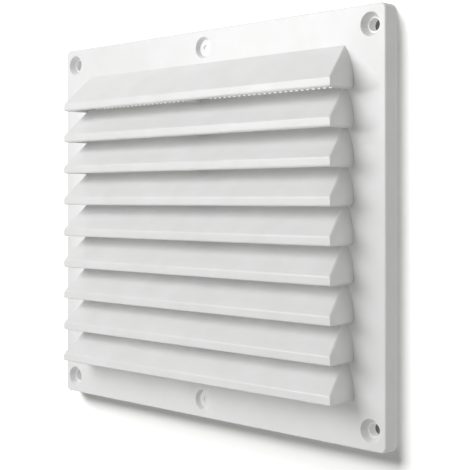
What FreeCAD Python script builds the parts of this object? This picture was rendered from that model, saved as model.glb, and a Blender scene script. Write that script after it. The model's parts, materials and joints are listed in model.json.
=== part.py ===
import FreeCAD, Part

import math
import os

from FreeCAD import Vector

# A surface-mounted ventilation grille: a moulded plate with a bank of louvres, and an insect
# screen staked to its back. Millimetres. X runs across the plate, Z up it, and Y points into
# the wall. The origin is the middle of the plate's back rim, on the wall.

# Plate: a flat front with a skirt that stands on the wall
plate_width = 190.0
plate_height = 165.0
plate_depth = 6.5
plate_wall = 2.0
skirt_wall = 2.0
corner_radius = 2.4
front_edge_round = 0.7

# Louvre bank: where it lies on the plate, and how far apart the louvres are
top_margin = 14.2  # from the plate's top edge to the root of the first louvre
bottom_margin = 16.5  # least plain strip under the last louvre
side_margin = 15.3  # from the plate's side edge to the end of a lip
louvre_pitch = 14.6

# One louvre: a slope that comes out of the plate, a lip that hangs from it, two end caps
louvre_reach = 13.3  # how far the lip stands in front of the plate
slope_drop = 13.25  # height that the slope loses on its way out
lip_height = 3.5
blade_wall = 1.8
lip_wall = 1.8
cap_wall = 1.8
web_wall = 1.6  # stiffening web under the middle of each louvre
ridge_trim = 1.2  # taken off the top of a louvre that has another one above it
lip_round = 0.9
end_bevel = 0.5  # along the edges of each cap, above and below

# End caps: the foot of each cap on the plate is a curve that swings out below the root
root_setback = 3.2  # the root is this much shorter than the lip at each end
shoulder_setback = 0.5
shoulder_drop = 6.5
foot_flare = 0.5  # the foot is this much longer than the lip at each end
foot_bevel = 1.0  # at the lower corner of each cap on the plate

# Screw points: countersunk holes in the corners, blind ones half-way along the long edges
screw_inset_x = 7.0
screw_inset_z = 7.5
screw_hole_radius = 2.45
mouth_radius = 4.55
cone_half_angle = 30.0
seat_depth = 2.65
blind_depth = 1.7
blind_floor = 1.0
pilot_radius = 1.2  # shallow drill mark in the middle of a blind countersink
pilot_depth = 0.35
boss_wall = 1.6

# Seat for the screen: a raised rim round the opening and a spine down the middle
screen_setback = 3.4  # from the plate's front face to the front of the screen
rim_clearance = 0.6  # between the opening and the rim
rim_width = 3.5
pins_across = 5
pins_down = 4
pin_width = 2.0
pin_head_width = 3.4
pin_head_height = 0.7
pin_head_bevel = 0.35

# Insect screen
screen_wall = 0.8
screen_edge_gap = 0.6  # the screen stays this far inside the rim's outer edge
pin_clearance = 0.2
boss_clearance = 0.4
gaps_across = 10
gaps_down = 8
screen_bar = 1.4

# Levels along Y, from the wall outwards
wall_y = 0.0
face_y = wall_y - plate_depth
inner_y = face_y + plate_wall
lip_y = face_y - louvre_reach
mid_wall_y = (face_y + inner_y) / 2  # what stands on the plate is rooted this deep in it
screen_y = face_y + screen_setback
screen_back_y = screen_y + screen_wall
past = 1.0  # cutting bodies run past what they cut by this much
near = 0.01  # two places this close count as the same one

# Places worked out from the sizes above
half_width = plate_width / 2
half_height = plate_height / 2
lip_half = half_width - side_margin
root_half = lip_half - root_setback
shoulder_half = lip_half - shoulder_setback
foot_half = lip_half + foot_flare
louvre_height = slope_drop + lip_height
first_root = half_height - top_margin
bank_room = plate_height - top_margin - bottom_margin - louvre_height
louvre_count = int(bank_room / louvre_pitch) + 1
roots = [first_root - i * louvre_pitch for i in range(louvre_count)]
slope = slope_drop / louvre_reach
blade_drop = blade_wall * math.hypot(1.0, slope)  # the blade's wall, measured upright
sill = first_root - louvre_count * louvre_pitch - ridge_trim
screw_x = half_width - screw_inset_x
screw_z = half_height - screw_inset_z
boss_radius = mouth_radius + boss_wall
cone_slope = math.tan(math.radians(cone_half_angle))
rim_inner_half = foot_half - cap_wall + rim_clearance
rim_outer_half = rim_inner_half + rim_width
rim_inner_top = first_root + rim_clearance
rim_inner_bottom = sill - rim_clearance
rim_outer_top = rim_inner_top + rim_width
rim_outer_bottom = rim_inner_bottom - rim_width


def block(x0, x1, y0, y1, z0, z1):
    """Rectangular solid between two corners."""
    return Part.makeBox(x1 - x0, y1 - y0, z1 - z0, Vector(x0, y0, z0))


def rounded_plate(half_x, half_z, radius, y0, y1):
    """Plate with rounded corners, centred on the Y axis."""
    body = block(-half_x, half_x, y0, y1, -half_z, half_z)
    corners = [e for e in body.Edges if e.BoundBox.YLength > (y1 - y0) - near]
    return body.makeFillet(radius, corners)


def post(x, z, radius, y0, y1):
    """Round post that runs along Y."""
    return Part.makeCylinder(radius, y1 - y0, Vector(x, y0, z), Vector(0, 1, 0))


def square_post(x, z, width, y0, y1):
    """Square post that runs along Y."""
    half = width / 2
    return block(x - half, x + half, y0, y1, z - half, z + half)


def cone(x, z, radius0, radius1, y0, y1):
    """Round post that narrows along Y."""
    return Part.makeCone(radius0, radius1, y1 - y0, Vector(x, y0, z), Vector(0, 1, 0))


def side_profile(points, x0, x1):
    """Outline given as (y, z) points, drawn out along X."""
    corners = [Vector(x0, y, z) for y, z in points]
    face = Part.Face(Part.makePolygon(corners + corners[:1]))
    return face.extrude(Vector(x1 - x0, 0, 0))


# Louvres


def mirrored_loop(right_side):
    """Closed outline from the points of its right side, top to bottom."""
    left_side = [Vector(-p.x, p.y, p.z) for p in reversed(right_side)]
    points = right_side + left_side
    return Part.makePolygon(points + points[:1])


def root_outline():
    """Outline of a louvre where it meets the plate, with its root at height 0."""
    ends = []
    sides = []
    for side in (1, -1):
        crest = Vector(side * (root_half - end_bevel), face_y, 0)
        start = Vector(side * root_half, face_y, -end_bevel)
        middle = Vector(side * shoulder_half, face_y, -shoulder_drop)
        foot = Vector(side * foot_half, face_y, foot_bevel - louvre_height)
        floor = Vector(side * (foot_half - foot_bevel), face_y, -louvre_height)
        ends.append((crest, floor))
        sides.append([
            Part.makeLine(crest, start),
            Part.Arc(start, middle, foot).toShape(),
            Part.makeLine(foot, floor),
        ])
    (right_crest, right_floor), (left_crest, left_floor) = ends
    right, left = sides
    top = Part.makeLine(left_crest, right_crest)
    bottom = Part.makeLine(right_floor, left_floor)
    return Part.Wire([top] + right + [bottom] + left[::-1])


def lip_outline():
    """Outline of the same louvre at the front of its lip."""
    return mirrored_loop([
        Vector(lip_half - end_bevel, lip_y, -slope_drop),
        Vector(lip_half, lip_y, -slope_drop - end_bevel),
        Vector(lip_half, lip_y, end_bevel - louvre_height),
        Vector(lip_half - end_bevel, lip_y, -louvre_height),
    ])


def inner_root_outline():
    """Outline of the air space inside a louvre, where it meets the plate."""
    return mirrored_loop([
        Vector(root_half - cap_wall, face_y, 0),
        Vector(shoulder_half - cap_wall, face_y, -shoulder_drop),
        Vector(foot_half - cap_wall, face_y, -louvre_height - past),
    ])


def inner_lip_outline():
    """Outline of the same air space, carried on to the front of the lip."""
    half = lip_half - cap_wall
    shoulder = slope_drop + lip_height * shoulder_drop / louvre_height
    return mirrored_loop([
        Vector(half, lip_y, -slope_drop),
        Vector(half, lip_y, -shoulder),
        Vector(half, lip_y, -louvre_height - past),
    ])


def rounded_wedge():
    """The outer form of a louvre: its slope, its flared end caps and its lip, edges rounded."""
    form = Part.makeLoft([root_outline(), lip_outline()], True, True)
    lip_edges = []
    for edge in form.Edges:
        box = edge.BoundBox
        if box.YMax < lip_y + near and box.XLength > lip_half:
            lip_edges.append(edge)
    return form.makeFillet(lip_round, lip_edges).Solids[0]


def under_slope(x0, x1):
    """Everything under the slope and behind the lip, between two places along X."""
    lip_back = lip_y + lip_wall
    behind = inner_y + past
    floor = -louvre_height - 2 * past
    corners = [
        (lip_back, floor),
        (lip_back, slope * (lip_back - face_y) - blade_drop),
        (behind, slope * (behind - face_y) - blade_drop),
        (behind, floor),
    ]
    return side_profile(corners, x0, x1)


def louvre_space():
    """Air space inside a louvre: between its caps, on both sides of the web."""
    within = Part.makeLoft([inner_root_outline(), inner_lip_outline()], True, True)
    face = Part.Face(inner_root_outline())
    within = within.fuse(face.extrude(Vector(0, plate_wall + past, 0)))
    right = under_slope(web_wall / 2, foot_half)
    left = under_slope(-foot_half, -web_wall / 2)
    return within.common(right.fuse(left))


def louvre():
    """One louvre, root at height 0, down to the plate's inner face."""
    foot = Part.Face(root_outline()).extrude(Vector(0, plate_wall, 0))
    return rounded_wedge().fuse(foot).cut(louvre_space())


def lower_louvre(first):
    """A louvre that has another above it: its top edge is trimmed level."""
    crest = block(-foot_half, foot_half, lip_y, inner_y + past, -ridge_trim, past)
    return first.cut(crest)


def window(bottom):
    """Opening in the plate behind one louvre, from its root down to the given height."""
    face = Part.Face(inner_root_outline())
    opening = face.extrude(Vector(0, plate_wall + 2 * past, 0))
    opening.translate(Vector(0, -past, 0))
    room = block(-foot_half, foot_half, face_y - 2 * past, inner_y + 2 * past, bottom, past)
    return opening.common(room)


# Plate


def shell():
    """Flat front and skirt, open towards the wall."""
    plate = rounded_plate(half_width, half_height, corner_radius, face_y, wall_y)
    front = [e for e in plate.Edges if e.BoundBox.YMax < face_y + near]
    plate = plate.makeFillet(front_edge_round, front)
    inside_radius = max(corner_radius - skirt_wall, front_edge_round)
    pocket = rounded_plate(
        half_width - skirt_wall, half_height - skirt_wall, inside_radius, inner_y, wall_y + past
    )
    return plate.cut(pocket)


def screw_points():
    """Where the four screws go."""
    return [(i * screw_x, j * screw_z) for i in (-1, 1) for j in (-1, 1)]


def blind_points():
    """Where the two blind screw points lie."""
    return [(0.0, j * screw_z) for j in (-1, 1)]


def bosses():
    """Posts behind the screw points, trimmed to the outside of the skirt."""
    blind_end = face_y + blind_depth + blind_floor
    posts = [post(x, z, boss_radius, mid_wall_y, wall_y) for x, z in screw_points()]
    posts += [post(x, z, boss_radius, mid_wall_y, blind_end) for x, z in blind_points()]
    outside = rounded_plate(half_width, half_height, corner_radius, face_y, wall_y)
    return [p.common(outside) for p in posts]


def screw_cuts():
    """Countersinks and holes of the screw points, and the blind countersinks."""
    cuts = []
    mouth = mouth_radius + past * cone_slope
    seat_radius = mouth_radius - seat_depth * cone_slope
    for x, z in screw_points():
        cuts.append(cone(x, z, mouth, seat_radius, face_y - past, face_y + seat_depth))
        cuts.append(post(x, z, screw_hole_radius, face_y, wall_y + past))
    blind_y = face_y + blind_depth
    blind_radius = mouth_radius - blind_depth * cone_slope
    for x, z in blind_points():
        cuts.append(cone(x, z, mouth, blind_radius, face_y - past, blind_y))
        cuts.append(post(x, z, pilot_radius, face_y, blind_y + pilot_depth))
    return cuts


# Seat of the screen


def screen_seat():
    """Raised rim round the opening and the spine that crosses it."""
    y0 = mid_wall_y
    outer = block(-rim_outer_half, rim_outer_half, y0, screen_y, rim_outer_bottom, rim_outer_top)
    inner = block(
        -rim_inner_half, rim_inner_half, y0 - past, screen_y + past, rim_inner_bottom, rim_inner_top
    )
    spine = block(
        -web_wall / 2, web_wall / 2, y0, screen_y, rim_inner_bottom - past, rim_inner_top + past
    )
    return [outer.cut(inner), spine]


def pin_points():
    """Places of the stake pins, spread evenly along the middle of the rim."""
    half = (rim_inner_half + rim_outer_half) / 2
    top = (rim_inner_top + rim_outer_top) / 2
    bottom = (rim_inner_bottom + rim_outer_bottom) / 2
    across = 2 * half / pins_across
    down = (top - bottom) / pins_down
    xs = [-half + (i + 0.5) * across for i in range(pins_across)]
    zs = [bottom + (i + 0.5) * down for i in range(pins_down)]
    return [(x, z) for x in xs for z in (bottom, top)] + [(x, z) for x in (-half, half) for z in zs]


def stake_pins():
    """Pins that pass through the screen, with heads melted flat over it."""
    pins = []
    head_y = screen_back_y + pin_head_height
    for x, z in pin_points():
        pins.append(square_post(x, z, pin_width, inner_y, screen_back_y + near))
        head = square_post(x, z, pin_head_width, screen_back_y, head_y)
        rim = [e for e in head.Edges if e.BoundBox.YMin > head_y - near]
        pins.append(head.makeChamfer(pin_head_bevel, rim))
    return pins


def grille_body():
    """The whole moulding."""
    body = shell()
    first = louvre()
    lower = lower_louvre(first)
    windows = []
    louvres = []
    for i, root in enumerate(roots):
        shape = first if i == 0 else lower
        louvres.append(shape.translated(Vector(0, 0, root)))
        windows.append(window(-louvre_pitch - ridge_trim).translated(Vector(0, 0, root)))
    body = body.cut(windows)
    body = body.fuse(louvres + bosses() + screen_seat() + stake_pins())
    body = body.cut(screw_cuts())
    return body.removeSplitter()


def insect_screen():
    """Perforated sheet on the seat, with holes for the pins and room for the bosses."""
    half = rim_outer_half - screen_edge_gap
    top = rim_outer_top - screen_edge_gap
    bottom = rim_outer_bottom + screen_edge_gap
    sheet = block(-half, half, screen_y, screen_back_y, bottom, top)
    pitch_x = 2 * rim_inner_half / gaps_across
    pitch_z = (rim_inner_top - rim_inner_bottom) / gaps_down
    cuts = []
    for i in range(gaps_across):
        for j in range(gaps_down):
            x = -rim_inner_half + i * pitch_x + screen_bar / 2
            z = rim_inner_bottom + j * pitch_z + screen_bar / 2
            x1 = x + pitch_x - screen_bar
            z1 = z + pitch_z - screen_bar
            cuts.append(block(x, x1, screen_y - past, screen_back_y + past, z, z1))
    pin_hole = pin_width + 2 * pin_clearance
    for x, z in pin_points():
        cuts.append(square_post(x, z, pin_hole, screen_y - past, screen_back_y + past))
    for x, z in screw_points():
        cuts.append(post(x, z, boss_radius + boss_clearance, screen_y - past, screen_back_y + past))
    return sheet.cut(cuts)


nodes = {
    "grille_body": grille_body(),
    "insect_screen": insect_screen(),
}

os.makedirs("parts", exist_ok=True)
for name, shape in nodes.items():
    count = len(shape.Solids)
    print(name, "solids", count, "valid", shape.isValid(), "volume", round(shape.Volume, 1))
    shape.exportStep(f"parts/{name}.step")
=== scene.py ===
# %% [markdown]
# # A louvred ventilation grille
#
# This lesson dresses a wall grille that was built as solids: a moulded plate with nine fixed
# louvres, and an insect net behind them. The solids give every size. What is left for this
# script is what a camera sees: soft edges, a net with real strands, white plastic and light.
#
# The first cell loads the solids and notes their outer box. X runs across the plate, Z up and
# Y into the wall, and Blender counts in metres, so a factor turns millimetres into metres.

import json
import math

import bpy
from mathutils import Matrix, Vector

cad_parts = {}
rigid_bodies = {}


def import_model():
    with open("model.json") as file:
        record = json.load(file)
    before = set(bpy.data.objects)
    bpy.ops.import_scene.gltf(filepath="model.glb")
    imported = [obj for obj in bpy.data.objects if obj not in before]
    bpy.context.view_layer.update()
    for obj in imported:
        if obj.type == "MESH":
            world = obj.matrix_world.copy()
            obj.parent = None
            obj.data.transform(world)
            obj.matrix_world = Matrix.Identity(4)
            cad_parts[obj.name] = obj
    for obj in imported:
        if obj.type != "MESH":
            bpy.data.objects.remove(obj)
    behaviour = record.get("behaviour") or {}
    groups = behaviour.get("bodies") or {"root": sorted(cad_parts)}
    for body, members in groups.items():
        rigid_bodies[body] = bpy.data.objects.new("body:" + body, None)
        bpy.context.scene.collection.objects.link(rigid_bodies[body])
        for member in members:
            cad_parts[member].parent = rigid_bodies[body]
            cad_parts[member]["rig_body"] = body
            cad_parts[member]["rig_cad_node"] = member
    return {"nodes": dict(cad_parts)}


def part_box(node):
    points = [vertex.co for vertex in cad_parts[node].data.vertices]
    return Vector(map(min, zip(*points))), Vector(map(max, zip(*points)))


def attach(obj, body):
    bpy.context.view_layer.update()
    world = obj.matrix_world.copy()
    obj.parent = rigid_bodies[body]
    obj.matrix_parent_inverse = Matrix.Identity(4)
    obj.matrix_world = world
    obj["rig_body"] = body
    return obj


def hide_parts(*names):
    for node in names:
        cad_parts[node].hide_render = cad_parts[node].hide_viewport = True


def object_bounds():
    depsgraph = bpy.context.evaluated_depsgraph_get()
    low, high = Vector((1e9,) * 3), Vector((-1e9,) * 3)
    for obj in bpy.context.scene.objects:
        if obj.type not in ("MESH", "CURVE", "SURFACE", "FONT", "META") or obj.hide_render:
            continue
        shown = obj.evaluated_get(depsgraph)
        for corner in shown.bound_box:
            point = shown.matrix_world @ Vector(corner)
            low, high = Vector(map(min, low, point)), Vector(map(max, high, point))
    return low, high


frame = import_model()
cad_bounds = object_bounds()
print("nodes:", sorted(frame["nodes"]))
print("box of the solids:", [[round(v, 4) for v in corner] for corner in cad_bounds])

MM = 0.001
plate_half_width = cad_bounds[1][0]
plate_half_height = cad_bounds[1][2]


# %% [markdown]
# ## Small helpers
#
# Blender's operators act on whatever is selected, so every step starts by selecting one object
# and nothing else. In edit mode the same holds for faces. The first helper selects an object,
# and the second counts triangles, to see what each step costs.

# %% Select one object and count its triangles
def select_only(piece):
    """Deselects everything, then selects one object and makes it the active one."""
    bpy.ops.object.select_all(action="DESELECT")
    piece.select_set(True)
    bpy.context.view_layer.objects.active = piece


def count_triangles(piece):
    """Number of triangles in a piece's mesh."""
    return sum(len(face.vertices) - 2 for face in piece.data.polygons)


for name, node in sorted(frame["nodes"].items()):
    print(name, "starts with", count_triangles(node), "triangles")


# %% [markdown]
# A new plane, grid or circle lies flat like a sheet on a floor, and here each one has to stand
# in the plane of the wall. One helper turns and moves what is selected in edit mode. The turn
# has its centre written out, because a script without a window has no pivot of its own.
#
# A face has a front and a back. The second helper makes a flat piece's front look out of the
# wall, towards -Y, whichever way the turn left it.

# %% Stand a flat piece up and face it forward
def stand_up(place):
    """In edit mode, turns the selection from the floor into the wall's plane and moves it."""
    bpy.ops.transform.rotate(value=math.radians(90), orient_axis="X", center_override=(0, 0, 0))
    bpy.ops.transform.translate(value=place)


def face_forward(piece):
    """Flips a flat piece whose front looks into the wall."""
    if piece.data.polygons[0].normal.y > 0:
        bpy.ops.object.mode_set(mode="EDIT")
        bpy.ops.mesh.select_all(action="SELECT")
        bpy.ops.mesh.flip_normals()
        bpy.ops.object.mode_set(mode="OBJECT")
    print(piece.name, "faces", [round(v, 2) for v in piece.data.polygons[0].normal])


# %% [markdown]
# ## The moulded body
#
# A mould never leaves a razor edge: each corner of the tool has a small radius, and that radius
# is what catches the light. The solid has its large roundings already. Its mesh is copied,
# loose triangles are welded, and flat areas are joined into single faces.

# %% Copy the body and weld it
weld_distance = 0.002 * MM
flat_angle = math.radians(0.5)

body_node = frame["nodes"]["grille_body"]
select_only(body_node)
bpy.ops.object.duplicate()
body = bpy.context.view_layer.objects.active
body.name = "grille_moulding"
for key in ("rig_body", "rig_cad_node"):  # the copy is no solid of the frame
    if key in body:
        del body[key]
body.parent = None

bpy.ops.object.mode_set(mode="EDIT")
bpy.ops.mesh.select_all(action="SELECT")
bpy.ops.mesh.remove_doubles(threshold=weld_distance)
bpy.ops.mesh.dissolve_limited(angle_limit=flat_angle)
bpy.ops.object.mode_set(mode="OBJECT")
print("welded body:", len(body.data.polygons), "faces")

# %% [markdown]
# A Bevel modifier could round every edge, but then the large roundings would be cut up too.
# Bevelling by angle rounds only the edges that are still sharp, because the facets of a large
# rounding meet at small angles.
#
# Smooth shading blends the directions of neighbouring faces. Where a wide flat face meets a
# thin bevel, that blend would draw streaks across the flat. Weighted normals let the wide face
# decide, so the plate stays even and only the thin bevel turns the light.

# %% Round the body's sharp edges
edge_radius = 0.3 * MM
sharp_angle = math.radians(38)
smooth_angle = math.radians(40)

bevel = body.modifiers.new("edge_radius", "BEVEL")
bevel.width = edge_radius
bevel.segments = 2
bevel.limit_method = "ANGLE"
bevel.angle_limit = sharp_angle
bevel.use_clamp_overlap = True
bpy.ops.object.modifier_apply(modifier="edge_radius")
bpy.ops.object.shade_smooth_by_angle(angle=smooth_angle)
even = body.modifiers.new("even_shading", "WEIGHTED_NORMAL")
even.weight = 100
even.keep_sharp = True
bpy.ops.object.modifier_apply(modifier="even_shading")
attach(body, "root")
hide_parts("grille_body")
print("body triangles:", count_triangles(body))

# %% [markdown]
# ## The insect net
#
# The real net is a moulded sheet of square holes, cut to size with scissors or a die, so its
# edge runs through the holes wherever it falls. Its pitch is the distance from one hole to the
# next. The photograph shows one row of holes just under the first lip, and two values put the
# pattern there: the height of that row, and how far the pattern is moved sideways.

# %% Sizes of the net
net_low, net_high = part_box("insect_screen")
mesh_pitch = 2.85 * MM
strand_width = 0.9 * MM
strand_offset = 2.1 * MM
hole_row_z = 53.2 * MM
net_wall = net_high.y - net_low.y
net_middle_z = (net_low.z + net_high.z) / 2
cells_across = math.ceil((net_high.x - net_low.x) / mesh_pitch) + 2
cells_up = math.ceil((net_high.z - net_low.z) / mesh_pitch) + 2

middle_z = hole_row_z - mesh_pitch * round((hole_row_z - net_middle_z) / mesh_pitch)
if cells_up % 2 == 0:
    middle_z += mesh_pitch / 2
middle_x = strand_offset + (mesh_pitch / 2 if cells_across % 2 else 0)
print("net", cells_across, "by", cells_up, "holes, wall", round(net_wall / MM, 2), "mm")

# %% [markdown]
# A net could be woven from single strands, which makes thousands of crossings to join. A grid
# is the better start, because each of its squares becomes one hole. Inset gives every square
# its own border, the inner faces are deleted, and a flat lattice of strands is left. Bisect
# cuts it to size on all four sides.

# %% Model the flat lattice
bpy.ops.object.select_all(action="DESELECT")
bpy.ops.mesh.primitive_grid_add(
    x_subdivisions=cells_across,
    y_subdivisions=cells_up,
    size=1.0,
    location=(0, 0, 0),
)
net = bpy.context.view_layer.objects.active
net.name = "insect_net"

bpy.ops.object.mode_set(mode="EDIT")
bpy.ops.mesh.select_all(action="SELECT")
bpy.ops.transform.resize(value=(cells_across * mesh_pitch, cells_up * mesh_pitch, 1))
stand_up((middle_x, net_low.y, middle_z))
bpy.ops.mesh.inset(thickness=strand_width / 2, depth=0, use_individual=True)
bpy.ops.mesh.delete(type="FACE")
for place, normal in (
    ((net_high.x, 0, 0), (1, 0, 0)),
    ((net_low.x, 0, 0), (-1, 0, 0)),
    ((0, 0, net_high.z), (0, 0, 1)),
    ((0, 0, net_low.z), (0, 0, -1)),
):
    bpy.ops.mesh.select_all(action="SELECT")
    bpy.ops.mesh.bisect(plane_co=place, plane_no=normal, clear_outer=True)
bpy.ops.mesh.select_all(action="SELECT")
bpy.ops.mesh.remove_doubles(threshold=weld_distance)
bpy.ops.object.mode_set(mode="OBJECT")
print("flat lattice:", len(net.data.polygons), "faces")

# %% [markdown]
# Solidify gives the lattice its thickness. It grows along the faces' fronts or against them, so
# the side is chosen from where the faces look. The strands then fill the space of the solid.

# %% Give the net its wall
facing = sum(face.normal.y * face.area for face in net.data.polygons)
solidify = net.modifiers.new("net_wall", "SOLIDIFY")
solidify.thickness = net_wall
solidify.offset = -1.0 if facing < 0 else 1.0
bpy.ops.object.modifier_apply(modifier="net_wall")
bpy.ops.object.mode_set(mode="EDIT")
bpy.ops.mesh.select_all(action="SELECT")
bpy.ops.mesh.normals_make_consistent(inside=False)
bpy.ops.object.mode_set(mode="OBJECT")
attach(net, "root")
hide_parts("insect_screen")
print("net triangles:", count_triangles(net))

# %% [markdown]
# ## Materials
#
# Colours are written as the hex values one would pick from a screen. Blender's shaders work in
# linear light, so one function turns a hex value into linear numbers. A second small function
# adds a node with its settings and links.

# %% Colour and node helpers
def linear(hex_value):
    """Linear RGBA from an sRGB hex value."""
    channels = [int(hex_value[i : i + 2], 16) / 255 for i in (1, 3, 5)]
    return [c / 12.92 if c <= 0.04045 else ((c + 0.055) / 1.055) ** 2.4 for c in channels] + [1]


def add_node(tree, kind, settings=None, inputs=None):
    """Adds a node. An input is named or numbered, and may be a value or another node's output."""
    node = tree.nodes.new(kind)
    for name, value in (settings or {}).items():
        setattr(node, name, value)
    for name, value in (inputs or {}).items():
        socket = node.inputs[name]
        if isinstance(value, bpy.types.NodeSocket):
            tree.links.new(value, socket)
        else:
            socket.default_value = value
    return node


def new_material(name):
    """An empty material and its node tree."""
    material = bpy.data.materials.new(name)
    material.use_nodes = True
    material.node_tree.nodes.clear()
    return material, material.node_tree


print("a mid grey of #808080 is", round(linear("#808080")[0], 3), "in linear light")

# %% [markdown]
# ### White moulded ABS
#
# The body is ABS, injected into a polished mould. That gives the eye a clean, neutral white
# with a soft sheen: sharp enough to draw a light line along each rounded edge, too soft to
# mirror the room. White ABS also lets a little light into its skin, about half a millimetre,
# which softens the edge between lit and shaded plastic.
#
# Up close the skin is not perfectly flat. It swells by about a hundredth of a millimetre over
# distances of several millimetres, where the plastic shrank over the ribs, and it has a fine
# grain from the mould's polish. Two noise patterns stand for these. The real grain is too fine
# to show in the render, so it is drawn coarser here. The swell also shifts the colour slightly.

# %% Patterns of the ABS skin
swell_size = 14 * MM
grain_size = 0.7 * MM
light_depth = 0.5 * MM
light_spread = (1.0, 1.0, 0.95)

abs_white, tree = new_material("moulded_white_ABS")
place = add_node(tree, "ShaderNodeTexCoord").outputs["Object"]
shrink = add_node(
    tree, "ShaderNodeTexNoise", {}, {"Vector": place, "Scale": 1 / swell_size, "Detail": 2.0}
)
grain = add_node(
    tree, "ShaderNodeTexNoise", {}, {"Vector": place, "Scale": 1 / grain_size, "Detail": 3.0}
)
tint = add_node(tree, "ShaderNodeValToRGB", {}, {"Fac": shrink.outputs["Fac"]})
tint.color_ramp.elements[0].position = 0.3
tint.color_ramp.elements[0].color = linear("#F0F0F0")
tint.color_ramp.elements[1].position = 0.7
tint.color_ramp.elements[1].color = linear("#F5F5F6")
print("swell every", round(swell_size / MM, 1), "mm, grain every", round(grain_size / MM, 1), "mm")

# %% [markdown]
# The grain drives the roughness between a slightly glossier and a slightly duller value. Two
# Bump nodes in a row lay the fine grain over the wide swell.

# %% Sheen and skin of the ABS
sheen = add_node(
    tree,
    "ShaderNodeMapRange",
    {},
    {
        "Value": grain.outputs["Fac"],
        "From Min": 0.3,
        "From Max": 0.7,
        "To Min": 0.28,
        "To Max": 0.34,
    },
)
swell = add_node(
    tree,
    "ShaderNodeBump",
    {},
    {"Height": shrink.outputs["Fac"], "Strength": 0.12, "Distance": 0.12 * MM},
)
skin = add_node(
    tree,
    "ShaderNodeBump",
    {},
    {
        "Height": grain.outputs["Fac"],
        "Strength": 0.05,
        "Distance": 0.01 * MM,
        "Normal": swell.outputs["Normal"],
    },
)
plastic = add_node(
    tree,
    "ShaderNodeBsdfPrincipled",
    {},
    {
        "Base Color": tint.outputs["Color"],
        "Roughness": sheen.outputs["Result"],
        "IOR": 1.54,
        "Subsurface Weight": 0.6,
        "Subsurface Radius": light_spread,
        "Subsurface Scale": light_depth,
        "Normal": skin.outputs["Normal"],
    },
)
add_node(tree, "ShaderNodeOutputMaterial", {}, {"Surface": plastic.outputs["BSDF"]})
print(abs_white.name, "has", len(tree.nodes), "nodes")

# %% [markdown]
# ### Moulded polypropylene net
#
# The net is polypropylene, a softer and duller plastic than the body. It is a touch warmer, and
# its strands are matt. Light enters its skin as it does in the body.

# %% Moulded polypropylene
mottle_size = 1.5 * MM

net_white, tree = new_material("moulded_white_polypropylene")
place = add_node(tree, "ShaderNodeTexCoord").outputs["Object"]
mottle = add_node(
    tree, "ShaderNodeTexNoise", {}, {"Vector": place, "Scale": 1 / mottle_size, "Detail": 2.0}
)
tint = add_node(tree, "ShaderNodeValToRGB", {}, {"Fac": mottle.outputs["Fac"]})
tint.color_ramp.elements[0].color = linear("#E6E6DE")
tint.color_ramp.elements[1].color = linear("#EEEEE6")
strand_skin = add_node(
    tree,
    "ShaderNodeBump",
    {},
    {"Height": mottle.outputs["Fac"], "Strength": 0.2, "Distance": 0.03 * MM},
)
plastic = add_node(
    tree,
    "ShaderNodeBsdfPrincipled",
    {},
    {
        "Base Color": tint.outputs["Color"],
        "Roughness": 0.55,
        "IOR": 1.49,
        "Subsurface Weight": 0.6,
        "Subsurface Radius": light_spread,
        "Subsurface Scale": light_depth,
        "Normal": strand_skin.outputs["Normal"],
    },
)
add_node(tree, "ShaderNodeOutputMaterial", {}, {"Surface": plastic.outputs["BSDF"]})
print(net_white.name, "has", len(tree.nodes), "nodes")

# %% [markdown]
# Each dressed piece gets its plastic. The solids that they stand for get the same one, so that
# the colours agree wherever a solid is shown instead.

# %% Put the materials on
for piece, material in (
    (body, abs_white),
    (net, net_white),
    (body_node, abs_white),
    (frame["nodes"]["insect_screen"], net_white),
):
    piece.data.materials.clear()
    piece.data.materials.append(material)
    print(piece.name, "is", material.name)

# %% [markdown]
# ## The wall
#
# A grille lives on a wall, and the wall shows how thick the plate is by the shadow that it
# catches. The wall is a stage piece and not part of the object. It has an opening where the air
# duct comes in, so the light ground shows through the net.
#
# A plane is sized to the opening plus a wide border on each side. Inset by the width of the
# border then leaves the opening as the inner face, and that face is deleted. The wall lies a
# hair behind the plate's back rim, so that the two never share a surface.

# %% Model the wall
wall_border = 1.9
duct_width = 150 * MM
duct_height = 118 * MM
wall_gap = 0.05 * MM
wall_width = duct_width + 2 * wall_border
wall_height = duct_height + 2 * wall_border

bpy.ops.object.select_all(action="DESELECT")
bpy.ops.mesh.primitive_plane_add(size=1.0, location=(0, 0, 0))
wall = bpy.context.view_layer.objects.active
wall.name = "wall"
bpy.ops.object.mode_set(mode="EDIT")
bpy.ops.mesh.select_all(action="SELECT")
bpy.ops.transform.resize(value=(wall_width, wall_height, 1))
stand_up((0, wall_gap, net_middle_z))
bpy.ops.mesh.inset(thickness=wall_border)
bpy.ops.mesh.delete(type="FACE")
bpy.ops.object.mode_set(mode="OBJECT")
face_forward(wall)
print("wall:", len(wall.data.polygons), "faces around the opening")

# %% [markdown]
# The stage has a paint of its own kind. Two questions decide whether it shows: does the ray come
# from the camera, and does it meet the front of the face? Only then is there paint, and any other
# ray passes through. So the wall throws no light back on the grille, and from behind the eye
# looks through it at the grille's back.
#
# The wall's white is set above 1, brighter than a real paint can be. The ground of the picture
# is then pure white, and the plate's shadow is the only thing drawn on it.

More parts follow.
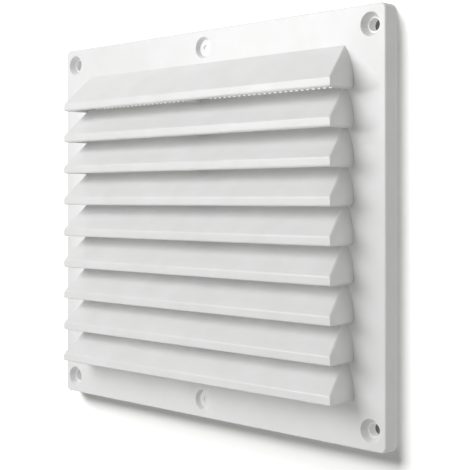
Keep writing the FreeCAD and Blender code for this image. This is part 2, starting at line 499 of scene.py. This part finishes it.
# %% Stage paint
def stage_paint(name, colour):
    """Matt paint that only the camera sees, and only from the front."""
    material, tree = new_material(name)
    rays = add_node(tree, "ShaderNodeLightPath")
    side = add_node(tree, "ShaderNodeNewGeometry")
    front = add_node(
        tree,
        "ShaderNodeMath",
        {"operation": "SUBTRACT"},
        {0: 1.0, 1: side.outputs["Backfacing"]},
    )
    seen = add_node(
        tree,
        "ShaderNodeMath",
        {"operation": "MULTIPLY"},
        {0: front.outputs[0], 1: rays.outputs["Is Camera Ray"]},
    )
    clear = add_node(tree, "ShaderNodeBsdfTransparent")
    paint = add_node(tree, "ShaderNodeBsdfDiffuse", {}, {"Color": colour})
    mix = add_node(
        tree,
        "ShaderNodeMixShader",
        {},
        {0: seen.outputs[0], 1: clear.outputs[0], 2: paint.outputs[0]},
    )
    add_node(tree, "ShaderNodeOutputMaterial", {}, {"Surface": mix.outputs[0]})
    return material


wall_white = (1.3, 1.3, 1.3, 1)
wall.data.materials.append(stage_paint("matt_white_wall_paint", wall_white))
print("wall paint:", wall.data.materials[0].name)

# %% [markdown]
# Four screws hold the grille, and the wall is drilled for them. Through each screw hole the eye
# would meet white paint, where the real hole is dark with shade, so the stage has a disc of
# painted
# shade there: a flat grey that stands for the shaded inside of the drilled hole. Each disc lies
# just in front of the wall, at the plate's corner less the screw's inset.

# %% Model the discs of painted shade in the drilled holes
drill_radius = 3.0 * MM
hole_gap = 0.03 * MM
screw_x = plate_half_width - 7.0 * MM
screw_z = plate_half_height - 7.5 * MM
# painted shade: this grey stands for the shaded inside of each drilled hole, not for the masonry's
# own colour
painted_hole_shade = stage_paint("painted_shade_in_drilled_hole", linear("#84847A"))
painted_shade_discs = []
for number, (side_x, side_z) in enumerate(((-1, -1), (-1, 1), (1, -1), (1, 1))):
    bpy.ops.object.select_all(action="DESELECT")
    bpy.ops.mesh.primitive_circle_add(
        vertices=32, radius=drill_radius, fill_type="NGON", location=(0, 0, 0)
    )
    hole = bpy.context.view_layer.objects.active
    hole.name = f"painted_shade_disc_{number + 1}"
    bpy.ops.object.mode_set(mode="EDIT")
    bpy.ops.mesh.select_all(action="SELECT")
    stand_up((side_x * screw_x, hole_gap, side_z * screw_z))
    bpy.ops.object.mode_set(mode="OBJECT")
    face_forward(hole)
    hole.data.materials.append(painted_hole_shade)
    painted_shade_discs.append(hole)

# %% [markdown]
# ## Light
#
# One set of lamps could light the grille and the wall alike, as in a real studio. It would be
# hard to match both the shades on the grille and the short, soft shadow on the wall with it.
# Blender can tell a lamp which objects it may light, by a collection that the lamp is linked
# to. Some lamps here light the grille and not the wall, and one lights the wall and not the
# grille. The discs of painted shade in the drilled holes belong to both.

# %% What each lamp may light
grille_pieces = bpy.data.collections.new("lit_by_grille_lamps")
for piece in [body, net, body_node, frame["nodes"]["insect_screen"]] + painted_shade_discs:
    grille_pieces.objects.link(piece)
stage_pieces = bpy.data.collections.new("lit_by_wall_lamp")
for piece in [wall] + painted_shade_discs:
    stage_pieces.objects.link(piece)


# %% [markdown]
# A lamp shines along its own -Z axis. To aim it, the direction from its place to its target is
# turned into a rotation. A second function makes the round panels, which differ only in size,
# power and place.

# %% Lamp functions
def place_lamp(data, place, target, lit):
    """Puts a lamp at one place, turns it towards another and says what it lights."""
    lamp = bpy.data.objects.new(data.name, data)
    bpy.context.scene.collection.objects.link(lamp)
    lamp.location = place
    lamp.rotation_euler = (Vector(target) - Vector(place)).to_track_quat("-Z", "Y").to_euler()
    lamp.light_linking.receiver_collection = lit
    distance = (Vector(target) - Vector(place)).length
    print(data.name, round(data.energy, 1), "W from", round(distance, 2), "m")


def round_panel(name, place, target, size, power, lit):
    """A round panel of light."""
    data = bpy.data.lights.new(name, "AREA")
    data.shape = "DISK"
    data.size = size
    data.energy = power
    place_lamp(data, place, target, lit)


# %% [markdown]
# One large softbox stands high on the left. The slopes that face it are bright, and every lip
# shades what lies under it. Weak panels in front and low on the left keep those shades soft. A
# panel on the right, almost in line with the wall, lights the end caps and the plate's side,
# and one behind the wall lights the grille's back and glows a little through the net.

# %% Panels for the grille
middle = (0, 0, 0)
right_edge = (plate_half_width, 0, 0)
# name, place and target in metres, width in metres, power in watts
for name, place, target, size, power in (
    ("softbox_upper_left", (-0.84, -1.60, 0.87), middle, 1.4, 25.0),
    ("panel_low_left", (-0.641, -0.423, -0.641), middle, 0.5, 1.1),
    ("panel_front", (0.0, -1.0, 0.0), middle, 0.5, 1.0),
    ("panel_right", (0.78, 0.16, 0.0), right_edge, 0.5, 1.1),
    ("panel_behind", (0.0, 0.95, 0.25), middle, 0.8, 3.2),
):
    round_panel(name, place, target, size, power, grille_pieces)

# %% [markdown]
# A smaller lamp, far to the left, throws the triangular shadows of the first two end caps. Its
# cone is aimed far above the plate, so that only the soft lower edge of the cone falls on the
# louvres, and the shadows fade from one louvre to the next.

# %% Small key lamp
key_place = (-0.93, -1.09, 0.19)
key_aim = (0, 0, 0.3977)

key = bpy.data.lights.new("key_spot", "SPOT")
key.energy = 6.5
key.shadow_soft_size = 0.07
key.spot_size = math.radians(32)
key.spot_blend = 0.3143
place_lamp(key, key_place, key_aim, grille_pieces)

# %% [markdown]
# The wall has a lamp of its own. It is wide, so the plate's shadow on the wall is dark only where
# the two touch and fades within a centimetre.

# %% Wall lamp
round_panel("wall_panel", (-0.98, -0.86, 1.45), middle, 2.1, 106.0, stage_pieces)

# %% [markdown]
# The room gives a weak light from all sides. The camera, and any ray that a glossy or a clear
# surface sends out, sees it as plain white. Two Maximum nodes join the three kinds of ray into
# one yes or no.

# %% Room
room_fill = (0.21, 0.21, 0.2, 1)
room_white = (1, 1, 1, 1)

world = bpy.data.worlds.new("room")
bpy.context.scene.world = world
world.use_nodes = True
tree = world.node_tree
tree.nodes.clear()
rays = add_node(tree, "ShaderNodeLightPath")
fill = add_node(tree, "ShaderNodeBackground", {}, {"Color": room_fill, "Strength": 1.0})
white = add_node(tree, "ShaderNodeBackground", {}, {"Color": room_white, "Strength": 1.0})
seen = add_node(
    tree,
    "ShaderNodeMath",
    {"operation": "MAXIMUM"},
    {0: rays.outputs["Is Camera Ray"], 1: rays.outputs["Is Glossy Ray"]},
)
through = add_node(
    tree,
    "ShaderNodeMath",
    {"operation": "MAXIMUM"},
    {0: seen.outputs[0], 1: rays.outputs["Is Transmission Ray"]},
)
mix = add_node(
    tree,
    "ShaderNodeMixShader",
    {},
    {0: through.outputs[0], 1: fill.outputs[0], 2: white.outputs[0]},
)
add_node(tree, "ShaderNodeOutputWorld", {}, {"Surface": mix.outputs[0]})
print("lamps:", sorted(item.name for item in bpy.data.lights))

# %% [markdown]
# ## Camera
#
# The camera stands to the right of the grille, a little above its middle, and is level. A level
# camera keeps upright edges upright, and a small shift frames the plate instead of a tilt. Its
# focal length and the height of the horizon are in pixels of the picture, as they were measured.

# %% Camera
image_width = 470
focal_px = 1061.3
horizon_px = 198.97
camera_place = (0.3231, -0.3225, 0.0105)
camera_turn = math.radians(43.91)

camera_data = bpy.data.cameras.new("camera")
camera_data.sensor_width = 36.0
camera_data.lens = camera_data.sensor_width * focal_px / image_width
camera_data.shift_y = -(image_width / 2 - horizon_px) / image_width
camera = bpy.data.objects.new("camera", camera_data)
bpy.context.scene.collection.objects.link(camera)
camera.location = camera_place
camera.rotation_euler = (math.radians(90), 0, camera_turn)
bpy.context.scene.camera = camera
bpy.context.scene.view_settings.view_transform = "Standard"
print("lens", round(camera_data.lens, 2), "mm")
